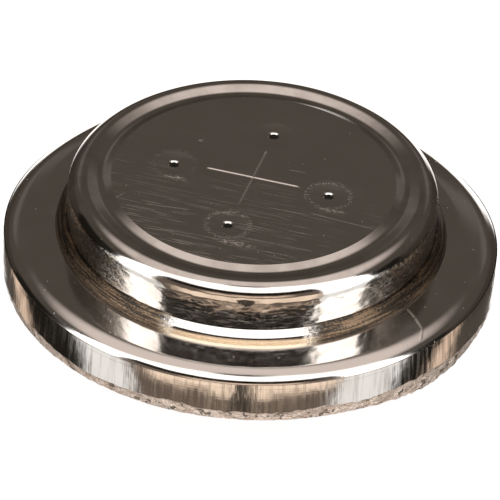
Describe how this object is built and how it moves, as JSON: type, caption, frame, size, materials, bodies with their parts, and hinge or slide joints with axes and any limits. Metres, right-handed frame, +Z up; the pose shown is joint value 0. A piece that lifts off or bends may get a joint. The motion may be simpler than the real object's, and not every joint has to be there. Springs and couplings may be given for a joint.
{
  "type": "zinc-air battery",
  "caption": "Round zinc-air button cell standing contact side down in a flanged metal adapter ring, with small air holes in its top.",
  "frame": {"origin": "centre of the negative contact face, on which the cell stands", "axes": "+Z up along the cell's axis, out of the face with the air holes; the cell is round, so X and Y only fix where the air holes and the cross lie"},
  "size_m": [0.0156, 0.0156, 0.0053],
  "materials": {
    "ring_metal": "nickel plate, polished, with vertical drag marks on the edge and a torn band below",
    "can_metal": "nickel plate, polished, with fine scratches and scuffs on top",
    "cap_metal": "nickel plate, polished",
    "gasket_nylon": "translucent off-white nylon",
    "paper": "absorbent paper",
    "membrane_film": "white porous film",
    "cathode_carbon": "pressed carbon, matt black",
    "screen_metal": "bare nickel screen",
    "separator_sheet": "thin felted sheet",
    "zinc_gel": "grey zinc powder in gel"
  },
  "bodies": {
    "root": {"adapter_ring": "ring_metal", "positive_can": "can_metal", "negative_cap": "cap_metal", "sealing_gasket": "gasket_nylon", "diffusion_paper": "paper", "air_membrane": "membrane_film", "cathode_film": "membrane_film", "air_cathode": "cathode_carbon", "cathode_mesh": "screen_metal", "separator": "separator_sheet", "zinc_anode": "zinc_gel"}
  },
  "joints": []
}
